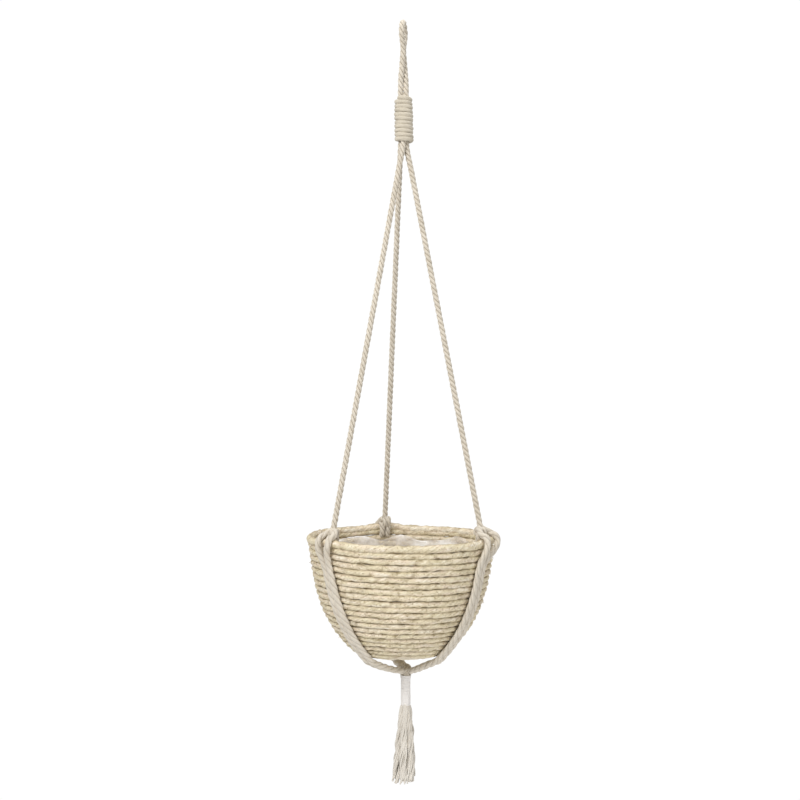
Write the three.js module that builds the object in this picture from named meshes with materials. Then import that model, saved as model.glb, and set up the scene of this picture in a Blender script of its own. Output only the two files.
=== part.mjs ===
// Hanging macrame planter: a coiled straw basket carried in a cotton rope sling.
// Millimetres, +Z up. The origin is the inner top of the hanging loop, where a hook touches it.
// +X is to the right as the planter is seen from its front, and +Y points to its back.
import * as THREE from 'three';

// Rope
const ROPE_R = 3.3;              // radius of the twisted cotton rope
const GAP = 0.35;                // space kept between pieces that touch on the real planter
const ROPE_SIDES = 8;
const ROPE_STEP = 24;            // length of rope between two sections where it runs straight
const BENT_ROPE_STEP = 8;        // and where it bends round the basket or the eye

// Hanging loop and its wrapped binding
const EYE_HALF_WIDTH = 12.5;     // from the axis to the rope's middle where the eye is widest
const PAIR_R = 3.75;             // from the axis to each rope's middle where the two lie together
const LOOP_FOOT_Z = -87;         // where the loop's two ropes enter the binding
const BINDING_TOP_Z = -90;
const BINDING_FOOT_Z = -148;
const BINDING_R = 11.6;
const BINDING_SHOULDER = 6;      // height over which its ends round in

// Legs, which run from the binding to the basket's mouth
const LEG_TOP_Z = -154;
const LEG_BUNDLE_R = 4.4;        // from the axis to each leg's middle just under the binding
const LEG_FOOT_R = 105;          // from the basket's axis to each leg's middle at its foot
const LEG_FOOT_Z = -631;

// Basket
const BASKET_X = -2.5;           // the basket hangs a little to the left of the loop
const RIM_Z = -646.5;
const BASKET_HEIGHT = 149.5;
const RIM_OUTER_R = 119.5;
const BASE_OUTER_R = 58;
const WALL_TAPER = 0.3;          // share of the narrowing that is even from mouth to base
const WALL_ROUNDING = 3.6;       // power by which the rest gathers near the base
const WALL_T = 7.6;              // thickness of one row of straw coil
const RIM_ROW_R = 4.75;          // radius of the two thicker rows at the mouth
const RIM_BULGE = 1.2;           // how far those rows stand proud of the wall
const RIM_DEPTH = 4 * RIM_ROW_R;
const FLOOR_T = 8;
const FLOOR_DEPTH = BASKET_HEIGHT - FLOOR_T;
const ROUND_SEGMENTS = 56;

// Film liner inside the basket
const LINER_T = 1;
const LINER_EDGE_DEPTH = 9;      // its edge stays this far below the mouth
const LINER_INSET = WALL_T + RIM_BULGE + GAP;

// Sling under the basket, its wrapped neck and its tassel
const ROPE_OFF = ROPE_R + 0.7;   // from the straw's surface to the middle of a rope that lies on it
const ARCH_R = 105.5;            // top of each sling rope's arch inside the mouth
const ARCH_Z = -635.5;
const GATHER_X = 3;              // the sling's ropes meet a little to the right of the loop
const GATHER_Z = -815;
const GATHER_R = 7.5;
const GATHER_HALF_HEIGHT = 7;
const PAIR_HALF = 3.75;          // half the distance between the two runs of one rope
const STRAP_HALF = 4.6;          // the same where the runs lie flat on the basket
const PAIRED_DEPTH = 30;         // below this depth the two runs lie side by side
const NECK_TOP_Z = -824.5;
const NECK_FOOT_Z = -863.5;
const NECK_R = 6.2;
const TAIL_TOP_Z = -869.5;
const TAIL_FOOT_Z = -960;
const TAIL_TOP_R = 2.1;
const TAIL_FOOT_R = 4.6;
const TAIL_RING_TOP_R = 4.6;
const TAIL_RING_FOOT_R = 9.8;
const TAILS = 6;

// Azimuths of each side's leg and sling rope: the leg in the bundle under the binding and at its
// foot, the sling rope's two runs where they cross the mouth, and the pair's middle at the mouth
// and at the base.
const SIDES = [
  { name: 'left', bundle: 262, foot: 218, over: [215.5, 224.5], pair: [218.5, 229.5] },
  { name: 'right', bundle: 20, foot: 338.5, over: [328, 344], pair: [327, 319] },
  { name: 'back', bundle: 141, foot: 102, over: [98.9, 105.1], pair: [102, 102] },
];

const COTTON = new THREE.MeshStandardMaterial({ color: 0xded6c4, roughness: 0.95, metalness: 0 });
const STRAW = new THREE.MeshStandardMaterial({ color: 0xdcc9a0, roughness: 0.85, metalness: 0 });
const FILM = new THREE.MeshStandardMaterial({ color: 0xdccfc9, roughness: 0.35, metalness: 0 });

/** A named mesh of one piece. */
function piece(name, geometry, material) {
  const mesh = new THREE.Mesh(geometry, material);
  mesh.name = name;
  return mesh;
}

/** A point at a radius and an azimuth in degrees about a vertical axis at x = centreX. */
function around(centreX, radius, azimuth, z) {
  const a = THREE.MathUtils.degToRad(azimuth);
  return new THREE.Vector3(centreX + radius * Math.cos(a), radius * Math.sin(a), z);
}

/** A regular polygon that stands for a round section. */
function roundSection(radius, sides) {
  const corners = Array.from({ length: sides }, (_, i) => {
    const a = (2 * Math.PI * i) / sides;
    return new THREE.Vector2(radius * Math.cos(a), radius * Math.sin(a));
  });
  return new THREE.Shape(corners);
}

/** A rope along a smooth curve through the points. */
function rope(points, step = BENT_ROPE_STEP) {
  const path = new THREE.CatmullRomCurve3(points, false, 'centripetal');
  const count = Math.ceil(path.getLength() / step);
  return new THREE.ExtrudeGeometry(roundSection(ROPE_R, ROPE_SIDES), {
    steps: count,
    bevelEnabled: false,
    extrudePath: path,
  });
}

/** A solid turned about Z from an outline of [radius, z] pairs. */
function turned(outline, segments = ROUND_SEGMENTS) {
  const points = outline.map(([r, z]) => new THREE.Vector2(r, z));
  const geometry = new THREE.LatheGeometry(points, segments);
  geometry.rotateX(Math.PI / 2);
  return geometry;
}

/** Evenly spaced values from a to b, both included. */
function steps(a, b, count) {
  return Array.from({ length: count + 1 }, (_, i) => a + ((b - a) * i) / count);
}

/** The basket's outer radius at a depth below its mouth: nearly straight, then rounding in. */
function wallRadius(depth) {
  const t = depth / BASKET_HEIGHT;
  const narrowing = WALL_TAPER * t + (1 - WALL_TAPER) * t ** WALL_ROUNDING;
  return RIM_OUTER_R - (RIM_OUTER_R - BASE_OUTER_R) * narrowing;
}

/** The point that lies an inset inside the basket's outer surface, as [radius, z]. */
function wallPoint(depth, inset) {
  const slope = wallRadius(depth + 0.5) - wallRadius(depth - 0.5);
  const length = Math.hypot(slope, 1);
  return [wallRadius(depth) - inset / length, RIM_Z - depth - (inset * slope) / length];
}

/** Points on an arc of a row of coil, from one angle to another in degrees, as [radius, z]. */
function rowArc(depth, from, to, count) {
  const r = wallRadius(depth) + RIM_BULGE - RIM_ROW_R;
  return steps(from, to, count).map((degrees) => {
    const a = THREE.MathUtils.degToRad(degrees);
    return [r + RIM_ROW_R * Math.cos(a), RIM_Z - depth + RIM_ROW_R * Math.sin(a)];
  });
}

/** The folded rope of the hanging loop: an eye that stands front to back, and two ropes below. */
function hangingLoop() {
  // [radius, azimuth, z] of one side, from the eye's top down to the binding
  const side = [
    [6.5, 80, 1.6],
    [11.2, 80, -4],
    [EYE_HALF_WIDTH, 80, -11],
    [9.5, 82, -19],
    [5.2, 86, -26],
    [PAIR_R, 88, -31],
    [PAIR_R, 60, -38],
    [PAIR_R, 24, -46],
    [PAIR_R, 4, -55],
    [PAIR_R, -4, -70],
    [PAIR_R, -4, LOOP_FOOT_Z],
  ];
  const down = side.map(([r, azimuth, z]) => around(0, r, azimuth, z));
  const up = side.map(([r, azimuth, z]) => around(0, r, azimuth + 180, z)).reverse();
  return rope([...up, new THREE.Vector3(0, 0, ROPE_R), ...down]);
}

/** The wrapped cord of a binding, as a plain turned solid with rounded ends. */
function binding(topZ, footZ, radius, shoulder) {
  const endR = 0.82 * radius;
  return turned([
    [0, footZ],
    [endR, footZ],
    [0.96 * radius, footZ + 0.4 * shoulder],
    [radius, footZ + shoulder],
    [radius, topZ - shoulder],
    [0.96 * radius, topZ - 0.4 * shoulder],
    [endR, topZ],
    [0, topZ],
  ], 20);
}

/** One leg: straight from the bundle under the binding to its foot at the arch. */
function leg({ bundle, foot }) {
  const top = around(0, LEG_BUNDLE_R, bundle, LEG_TOP_Z);
  const end = around(BASKET_X, LEG_FOOT_R, foot, LEG_FOOT_Z);
  return rope([top, top.clone().lerp(end, 0.5), end], ROPE_STEP);
}

/** Degrees from a pair's middle to each of its ropes, half a distance to each side, at a radius. */
function halfSpread(radius, half) {
  return THREE.MathUtils.radToDeg(Math.asin(half / radius));
}

/** One run of a sling rope, from the gather up the basket's side and over its mouth. */
function slingRun({ foot, over, pair }, side) {
  const overRim = over[side];
  const sign = side === 0 ? -1 : 1;
  const underFloor = [[GATHER_X, 8.6, -0.5], [GATHER_X, 13.5, 0.5], [0, 25, 3.5]];
  const points = underFloor.map(([x, r, rise]) => (
    around(x, r, pair[1] + sign * halfSpread(r, PAIR_HALF), GATHER_Z + rise)
  ));
  for (const [r, rise] of [[43, 9], [52, 12.3], [60.2, 15.6]]) {
    points.push(around(BASKET_X, r, pair[1] + sign * halfSpread(r, STRAP_HALF), GATHER_Z + rise));
  }
  for (const depth of [143, 132, 112, 86, 58, PAIRED_DEPTH]) {
    const [r, z] = wallPoint(depth, -ROPE_OFF);
    const middle = pair[0] + ((pair[1] - pair[0]) * depth) / BASKET_HEIGHT;
    points.push(around(BASKET_X, r, middle + sign * halfSpread(r, STRAP_HALF), z));
  }
  const joining = (pair[0] + sign * halfSpread(RIM_OUTER_R, STRAP_HALF) + 2 * overRim) / 3;
  points.push(around(BASKET_X, 124, joining, RIM_Z - 13));
  for (const [r, rise] of [[124.6, -4], [121.6, 3], [116, 5.2]]) {
    points.push(around(BASKET_X, r, overRim, RIM_Z + rise));
  }
  points.push(around(BASKET_X, 109.5, (2 * overRim + foot) / 3, RIM_Z + 9.5));
  return points;
}

/** One sling rope: two runs from the gather, joined by an arch inside the basket's mouth. */
function slingRope(sideOfBasket) {
  const arch = around(BASKET_X, ARCH_R, sideOfBasket.foot, ARCH_Z);
  return rope([...slingRun(sideOfBasket, 0), arch, ...slingRun(sideOfBasket, 1).reverse()]);
}

/** The two thick rows of coil round the mouth. */
function basketRim() {
  const upper = RIM_ROW_R;
  const lower = 3 * RIM_ROW_R;
  return turned([
    ...rowArc(lower, -120, -90, 1),
    ...rowArc(lower, -60, 60, 4),
    ...rowArc(upper, -60, 90, 5),
    ...rowArc(upper, 120, 180, 2),
    ...rowArc(lower, 180, 240, 2),
  ]);
}

/** The basket's side, from under its rim to its floor. */
function basketWall() {
  const depths = steps(RIM_DEPTH + GAP, FLOOR_DEPTH - GAP, 7);
  const outer = depths.map((depth) => wallPoint(depth, 0)).reverse();
  const inner = depths.map((depth) => wallPoint(depth, WALL_T));
  const top = [inner[0][0], outer.at(-1)[1]];
  return turned([...outer, top, ...inner.slice(1), outer[0]]);
}

/** The basket's floor, a disc of coil whose edge carries on the wall's curve. */
function basketBase() {
  return turned([
    [0, RIM_Z - BASKET_HEIGHT],
    wallPoint(BASKET_HEIGHT, 0),
    wallPoint(FLOOR_DEPTH + FLOOR_T / 2, 0),
    [wallRadius(FLOOR_DEPTH), RIM_Z - FLOOR_DEPTH],
    [0, RIM_Z - FLOOR_DEPTH],
  ]);
}

/** The film liner: a thin bowl that lies against the wall and on the floor. */
function liner() {
  const depths = steps(LINER_EDGE_DEPTH, FLOOR_DEPTH - 2, 8);
  const outer = depths.map((depth) => wallPoint(depth, LINER_INSET)).reverse();
  const inner = depths.map((depth) => wallPoint(depth, LINER_INSET + LINER_T));
  const underside = RIM_Z - FLOOR_DEPTH + GAP;
  return turned([
    [0, underside],
    [52, underside],
    ...outer,
    ...inner,
    [51, underside + LINER_T],
    [0, underside + LINER_T],
  ]);
}

/** The lump where the six runs of the sling meet. */
function gatherKnot() {
  const geometry = new THREE.SphereGeometry(1, 16, 10);
  geometry.scale(GATHER_R, GATHER_R, GATHER_HALF_HEIGHT);
  geometry.translate(GATHER_X, 0, GATHER_Z);
  return geometry;
}

/** One frayed rope end of the tassel, widening towards its foot. */
function tail(index) {
  const azimuth = (360 * index) / TAILS;
  const top = around(GATHER_X, TAIL_RING_TOP_R, azimuth, TAIL_TOP_Z);
  const foot = around(GATHER_X, TAIL_RING_FOOT_R, azimuth, TAIL_FOOT_Z);
  const along = top.clone().sub(foot);
  const geometry = new THREE.CylinderGeometry(TAIL_TOP_R, TAIL_FOOT_R, along.length(), 10);
  const turn = new THREE.Quaternion();
  turn.setFromUnitVectors(new THREE.Vector3(0, 1, 0), along.clone().normalize());
  geometry.applyQuaternion(turn);
  const middle = top.clone().add(foot).multiplyScalar(0.5);
  geometry.translate(middle.x, middle.y, middle.z);
  return geometry;
}

const planter = new THREE.Group();

planter.add(piece('hanging_loop', hangingLoop(), COTTON));
const topBinding = binding(BINDING_TOP_Z, BINDING_FOOT_Z, BINDING_R, BINDING_SHOULDER);
planter.add(piece('top_binding', topBinding, COTTON));

for (const side of SIDES) {
  planter.add(piece(`leg_rope_${side.name}`, leg(side), COTTON));
  planter.add(piece(`sling_rope_${side.name}`, slingRope(side), COTTON));
}

const basket = new THREE.Group();
basket.position.x = BASKET_X;
basket.add(piece('basket_rim', basketRim(), STRAW));
basket.add(piece('basket_wall', basketWall(), STRAW));
basket.add(piece('basket_base', basketBase(), STRAW));
basket.add(piece('film_liner', liner(), FILM));
planter.add(basket);

planter.add(piece('gather_knot', gatherKnot(), COTTON));
const neck = piece('neck_binding', binding(NECK_TOP_Z, NECK_FOOT_Z, NECK_R, 4), COTTON);
neck.position.x = GATHER_X;
planter.add(neck);

for (let i = 0; i < TAILS; i += 1) {
  planter.add(piece(`tassel_tail_${i + 1}`, tail(i), COTTON));
}

export default planter;
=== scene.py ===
"""Looks of a hanging macrame planter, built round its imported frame.

Everything is in metres in the planter's own frame: the origin is the inner top of the hanging
loop, +Z is up, +X is to the right seen from the front and +Y points to the back.
"""
import logging
import math
from dataclasses import dataclass
from enum import Enum
from typing import Sequence

import bpy
import numpy as np
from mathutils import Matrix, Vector


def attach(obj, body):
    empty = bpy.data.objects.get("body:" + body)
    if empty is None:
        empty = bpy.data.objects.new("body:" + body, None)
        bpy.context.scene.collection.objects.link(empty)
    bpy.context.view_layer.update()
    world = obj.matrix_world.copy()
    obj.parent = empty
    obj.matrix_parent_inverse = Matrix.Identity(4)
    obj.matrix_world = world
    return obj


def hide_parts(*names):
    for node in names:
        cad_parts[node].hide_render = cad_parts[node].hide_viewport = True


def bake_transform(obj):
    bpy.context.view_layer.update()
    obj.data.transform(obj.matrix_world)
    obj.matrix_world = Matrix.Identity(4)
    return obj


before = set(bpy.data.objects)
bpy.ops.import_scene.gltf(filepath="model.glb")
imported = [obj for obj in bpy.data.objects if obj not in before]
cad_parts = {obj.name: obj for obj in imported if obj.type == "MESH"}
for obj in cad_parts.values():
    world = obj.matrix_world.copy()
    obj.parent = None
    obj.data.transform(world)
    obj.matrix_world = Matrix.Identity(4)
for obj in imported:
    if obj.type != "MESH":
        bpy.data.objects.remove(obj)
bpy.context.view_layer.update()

log = logging.getLogger("planter")

MM = 0.001
TAU = 2 * math.pi
GOLDEN_ANGLE = 2.399
# Point attribute that sets painted shade: valleys between rope strands, gaps and dents of straw
# rows; on the tassel, a random darker tone per yarn.
GROOVE = "groove"
WHITE = (1.0, 1.0, 1.0, 1.0)
Colour = tuple[float, float, float]
Point = tuple[float, float, float]


class Half(Enum):
    """The two halves of a sling rope that is folded over the basket's mouth."""

    FIRST = 0
    SECOND = 1

    @property
    def sign(self) -> int:
        """The way round the basket in which the half lies from the pair's middle."""
        return 2 * self.value - 1


# ---------------------------------------------------------------- node trees


class Field:
    """A number or colour socket of a node tree, with the operators that the finishes use."""

    def __init__(self, tree: "NodeTree", socket: bpy.types.NodeSocket) -> None:
        """Wraps a socket.

        Args:
            tree: The tree that the socket's node is in.
            socket: An output socket.
        """
        self.tree = tree
        self.socket = socket

    def _math(self, operation: str, *values: "Field | float") -> "Field":
        """Adds a Math node.

        Args:
            operation: The node's operation.
            values: Its inputs in order.

        Returns:
            The node's result.
        """
        inputs = dict(enumerate(values))
        return self.tree.node("ShaderNodeMath", {"operation": operation}, inputs)

    def __add__(self, other: "Field | float") -> "Field":
        """self + other."""
        return self._math("ADD", self, other)

    def __radd__(self, other: float) -> "Field":
        """other + self."""
        return self._math("ADD", other, self)

    def __sub__(self, other: "Field | float") -> "Field":
        """self - other."""
        return self._math("SUBTRACT", self, other)

    def __rsub__(self, other: float) -> "Field":
        """other - self."""
        return self._math("SUBTRACT", other, self)

    def __mul__(self, other: "Field | float") -> "Field":
        """self * other."""
        return self._math("MULTIPLY", self, other)

    def __rmul__(self, other: float) -> "Field":
        """other * self."""
        return self._math("MULTIPLY", other, self)

    def apply(self, operation: str, *others: "Field | float") -> "Field":
        """self put through a Math node, with its other inputs where it has them."""
        return self._math(operation, self, *others)

    def power(self, exponent: float) -> "Field":
        """self to a power."""
        return self.apply("POWER", exponent)


class NodeTree:
    """A shader or geometry tree with one way to add any node."""

    def __init__(self, tree: bpy.types.NodeTree) -> None:
        """Wraps a node tree.

        Args:
            tree: The tree to add nodes to.
        """
        self.tree = tree

    def node(
        self,
        kind: str,
        settings: dict[str, object] | None = None,
        inputs: dict[int | str, object] | None = None,
        output: int | str = 0,
    ) -> Field:
        """Adds a node of any type.

        Args:
            kind: The node's type name.
            settings: Properties of the node, set before its sockets.
            inputs: Values or Fields by socket name or index.
            output: The output that is wanted.

        Returns:
            That output.
        """
        made = self.tree.nodes.new(kind)
        for name, value in (settings or {}).items():
            setattr(made, name, value)
        for key, value in (inputs or {}).items():
            if isinstance(value, Field):
                self.tree.links.new(value.socket, made.inputs[key])
            else:
                made.inputs[key].default_value = value
        return Field(self, made.outputs[output])

    def ramp(self, factor: Field, stops: Sequence[tuple[float, Colour]]) -> Field:
        """A colour ramp.

        Args:
            factor: Where to read the ramp, 0 to 1.
            stops: Positions and linear colours.

        Returns:
            The colour.
        """
        made = self.tree.nodes.new("ShaderNodeValToRGB")
        elements = made.color_ramp.elements
        while len(elements) < len(stops):
            elements.new(1.0)
        for element, (position, colour) in zip(elements, stops):
            element.position = position
            element.color = (*colour, 1.0)
        self.tree.links.new(factor.socket, made.inputs["Fac"])
        return Field(self, made.outputs["Color"])

    def mix(self, factor: Field | float, a: Field | Colour, b: Field | Colour,
            blend: str = "MIX") -> Field:
        """Mixes two colours.

        Args:
            factor: How much of b shows.
            a: The first colour.
            b: The second colour.
            blend: The way they mix.

        Returns:
            The mixed colour.
        """
        full = [c if isinstance(c, Field) else (*c, 1.0) for c in (a, b)]
        settings = {"data_type": "RGBA", "blend_type": blend}
        return self.node("ShaderNodeMix", settings, {0: factor, 6: full[0], 7: full[1]}, 2)

    def place(self) -> Field:
        """Coordinates in the planter's own frame."""
        return self.node("ShaderNodeTexCoord", output="Object")

    def groove(self) -> Field:
        """How deep in a valley the surface lies, 0 to 1, which sets its painted shade; on the
        tassel's yarn, a random darker tone per yarn.
        """
        return self.node("ShaderNodeAttribute", {"attribute_name": GROOVE}, output="Fac")

    def noise(self, vector: Field, scale: float, detail: float) -> Field:
        """A noise texture's value at a vector, 0 to 1."""
        inputs = {"Vector": vector, "Scale": scale, "Detail": detail}
        return self.node("ShaderNodeTexNoise", inputs=inputs)

    def bump(self, strength: float, distance: float, height: Field,
             under: Field | None = None) -> Field:
        """Small relief.

        Args:
            strength: How strongly it shows.
            distance: How deep it is.
            height: Its height, 0 to 1.
            under: Relief that it lies on.

        Returns:
            The normal.
        """
        inputs = {"Strength": strength, "Distance": distance, "Height": height}
        if under is not None:
            inputs["Normal"] = under
        return self.node("ShaderNodeBump", inputs=inputs)


class Finish:
    """Base of the finishes: a named material that is made once."""

    name = "finish"

    def material(self) -> bpy.types.Material:
        """Returns the finish's material, made on first use.

        Returns:
            The material, made once for each name.
        """
        found = bpy.data.materials.get(self.name)
        if found:
            return found
        made = bpy.data.materials.new(self.name)
        made.use_nodes = True
        tree = NodeTree(made.node_tree)
        shader = made.node_tree.nodes["Principled BSDF"]
        self.dress(tree, shader)
        return made

    def dress(self, tree: NodeTree, shader: bpy.types.Node) -> None:
        """Adds the finish's nodes to the shader.

        Args:
            tree: The material's tree.
            shader: Its Principled node.
        """
        raise NotImplementedError

    def link(self, tree: NodeTree, shader: bpy.types.Node, name: str, value: Field) -> None:
        """Links a field to one of the shader's sockets."""
        tree.tree.links.new(value.socket, shader.inputs[name])

    def fix(self, shader: bpy.types.Node, values: dict[str, object]) -> None:
        """Gives some of the shader's sockets one value each."""
        for name, value in values.items():
            shader.inputs[name].default_value = value

    def fibre_coordinates(self, tree: NodeTree, along: float, across: float,
                          twist: float) -> Field:
        """Coordinates that run with a piece's length, for streaks along it.

        Args:
            tree: The material's tree.
            along: Scale of the pattern along the piece, per metre.
            across: Scale of the pattern round the piece, per turn.
            twist: Turns per metre by which the streaks leave the mesh's own lines.

        Returns:
            A vector for a texture.
        """
        uv = tree.node("ShaderNodeTexCoord", output="UV")
        split = tree.node("ShaderNodeSeparateXYZ", inputs={0: uv})
        length = Field(tree, split.socket.node.outputs[0])
        turn = Field(tree, split.socket.node.outputs[1])
        inputs = {0: length * along, 1: (turn + length * twist) * across, 2: turn * 0.0}
        return tree.node("ShaderNodeCombineXYZ", inputs=inputs)


@dataclass(frozen=True)
class CottonFinish(Finish):
    """Natural cotton: cream strands, painted shade in the valleys between strands, fine fibres
    along the rope.
    """

    name: str = "laid_cotton"
    light: Colour = (0.73, 0.665, 0.565)
    middle: Colour = (0.53, 0.47, 0.375)
    # Colour of the painted shade in the valleys between strands; on the tassel's yarn, the darker
    # tone that some yarns take at random.
    valley: Colour = (0.25, 0.20, 0.135)
    along: float = 260.0
    across: float = 34.0
    twist: float = -45.0
    depth: float = 0.7 * MM
    fibre_share: float = 0.6
    patches_per_metre: float = 55.0

    def dress(self, tree: NodeTree, shader: bpy.types.Node) -> None:
        """Adds streaks, painted shade in the valleys and a fibre bump.

        Args:
            tree: The material's tree.
            shader: Its Principled node.
        """
        coordinates = self.fibre_coordinates(tree, self.along, self.across, self.twist)
        fibres = tree.noise(coordinates, 1.0, 3.0)
        patches = tree.noise(tree.place(), self.patches_per_metre, 2.0)
        mottle = fibres * self.fibre_share + patches * (1 - self.fibre_share)
        tone = tree.ramp(mottle, ((0.3, self.middle), (0.68, self.light)))
        # Painted shade: the groove attribute pulls the valleys between strands toward the valley
        # colour; on the tassel's yarn it darkens some yarns at random instead.
        colour = tree.mix(tree.groove().power(1.6), tone, self.valley)
        self.link(tree, shader, "Base Color", colour)
        self.fix(shader, {"Roughness": 0.93, "Specular IOR Level": 0.18,
                          "Sheen Weight": 0.25, "Sheen Roughness": 0.6})
        self.link(tree, shader, "Normal", tree.bump(0.55, self.depth, fibres))


@dataclass(frozen=True)
class StrawFinish(Finish):
    """Dry straw: pale yellow husk with green, pink and cream lengths, painted shade in the gaps
    and dents and along the fibres.
    """

    name: str = "dry_straw"
    # Colour of the painted shade in the gaps between rows and in the dents of the husks.
    gap_shade_colour: Colour = (0.27, 0.195, 0.10)
    # Tint of the painted shade that darkens the fibre streaks.
    fibre_shade: Colour = (0.74, 0.68, 0.58)
    spot: Colour = (0.60, 0.54, 0.44)
    husks: Sequence[tuple[float, Colour]] = (
        (0.34, (0.44, 0.35, 0.21)), (0.45, (0.72, 0.62, 0.43)),
        (0.54, (0.85, 0.765, 0.57)), (0.64, (0.97, 0.93, 0.80)))
    tints: Sequence[tuple[float, Colour]] = (
        (0.36, (0.76, 0.70, 0.49)), (0.44, (0.83, 0.76, 0.575)),
        (0.51, (0.87, 0.79, 0.60)), (0.57, (0.90, 0.77, 0.65)), (0.64, (0.96, 0.92, 0.82)))
    twist: float = 20.0
    spots_per_metre: float = 420.0

    def dress(self, tree: NodeTree, shader: bpy.types.Node) -> None:
        """Adds husk strips, lengths of other tints, painted shade along the fibres and in the gaps
        and dents, and fibre relief.

        Args:
            tree: The material's tree.
            shader: Its Principled node.
        """
        strip = tree.noise(self.fibre_coordinates(tree, 75.0, 12.0, self.twist), 1.0, 4.0)
        fibre = tree.noise(self.fibre_coordinates(tree, 340.0, 60.0, self.twist), 1.0, 2.0)
        tint = tree.noise(self.fibre_coordinates(tree, 24.0, 3.0, 0.0), 1.0, 2.0)
        speck = tree.noise(tree.place(), self.spots_per_metre, 2.0)
        colour = tree.mix(0.5, tree.ramp(strip, self.husks), tree.ramp(tint, self.tints))
        # Painted shade: a darker copy of the straw shows along the fibre streaks.
        shaded = tree.mix(1.0, colour, self.fibre_shade, "MULTIPLY")
        colour = tree.mix(fibre * 0.7, colour, shaded)
        dark_spots = tree.ramp(speck, ((0.30, self.spot), (0.42, (1.0, 1.0, 1.0))))
        colour = tree.mix(1.0, colour, dark_spots, "MULTIPLY")
        # Painted shade in the gaps between rows and in the husks' dents.
        colour = tree.mix(tree.groove().power(1.3), colour, self.gap_shade_colour)
        self.link(tree, shader, "Base Color", colour)
        self.fix(shader, {"Roughness": 0.62, "Specular IOR Level": 0.35})
        relief = tree.bump(0.7, 1.1 * MM, strip)
        self.link(tree, shader, "Normal", tree.bump(0.6, 0.4 * MM, fibre, relief))


@dataclass(frozen=True)
class FilmFinish(Finish):
    """Crumpled translucent film."""

    name: str = "creased_film"
    colour: Colour = (0.92, 0.845, 0.765)
    bright: Colour = (0.98, 0.95, 0.90)
    thin_cover: float = 0.22
    thick_cover: float = 0.82

    def dress(self, tree: NodeTree, shader: bpy.types.Node) -> None:
        """Adds milky patches and fine creases.

        Args:
            tree: The material's tree.
            shader: Its Principled node.
        """
        milky = tree.noise(tree.place(), 38.0, 4.0)
        creases = tree.node("ShaderNodeTexVoronoi", {"feature": "DISTANCE_TO_EDGE"}, {
            "Vector": tree.place(), "Scale": 95.0})
        colour = tree.ramp(milky, ((0.35, self.colour), (0.68, self.bright)))
        self.link(tree, shader, "Base Color", colour)
        cover = tree.ramp(milky, (
            (0.38, (self.thin_cover,) * 3), (0.62, (self.thick_cover,) * 3)))
        self.link(tree, shader, "Alpha", cover)
        self.fix(shader, {"Roughness": 0.22, "Specular IOR Level": 0.6})
        self.link(tree, shader, "Normal", tree.bump(0.5, 1.5 * MM, creases))


@dataclass(frozen=True)
class PlainFinish(Finish):
    """A plain matte surface, for the floor."""

    name: str = "pale_floor"
    colour: Colour = (0.97, 0.97, 0.97)

    def dress(self, tree: NodeTree, shader: bpy.types.Node) -> None:
        """Sets one colour."""
        self.fix(shader, {"Base Color": (*self.colour, 1.0), "Roughness": 0.9})


# Each finish's valley colour is painted shade in rope valleys, except on YARN, where it is a
# random darker tone of some yarns.
COTTON = CottonFinish()
CORD = CottonFinish(name="wrapping_cord", light=(0.65, 0.59, 0.48), middle=(0.49, 0.435, 0.34),
                    along=200.0, across=26.0, twist=-60.0)
THREAD = CottonFinish(name="whipping_thread", light=(0.87, 0.84, 0.81),
                      middle=(0.76, 0.73, 0.70), valley=(0.62, 0.59, 0.56),
                      along=500.0, across=8.0, depth=0.08 * MM)
YARN = CottonFinish(name="loose_yarn", light=(0.78, 0.735, 0.66), middle=(0.58, 0.535, 0.47),
                    valley=(0.36, 0.31, 0.24), along=500.0, across=8.0, twist=-120.0)
STRAW = StrawFinish()
FILM = FilmFinish()
FLOOR = PlainFinish()


# ---------------------------------------------------------------- shapes

NOISE_CELLS = 4096
STRIP_CELLS = 8192
CURVE_SAMPLES = 24


def smooth_noise(x: np.ndarray, seed: int) -> np.ndarray:
    """Smooth random values along a line.

    Args:
        x: Where to read them; they change about once per unit.
        seed: Picks the sequence.

    Returns:
        Values from -1 to 1.
    """
    values = np.random.default_rng(seed).uniform(-1, 1, NOISE_CELLS)
    cell = np.floor(x).astype(int)
    t = x - cell
    t = t * t * (3 - 2 * t)
    return values[cell % NOISE_CELLS] * (1 - t) + values[(cell + 1) % NOISE_CELLS] * t


def around(centre_x: float, radius: float, azimuth: float, z: float) -> np.ndarray:
    """A point at a radius and an azimuth in degrees about a vertical axis at x = centre_x."""
    a = math.radians(azimuth)
    return np.array([centre_x + radius * math.cos(a), radius * math.sin(a), z])


def run_lengths(points: np.ndarray) -> np.ndarray:
    """Length along a line of points at each of them."""
    return np.concatenate([[0], np.cumsum(np.linalg.norm(np.diff(points, axis=0), axis=1))])


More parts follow.
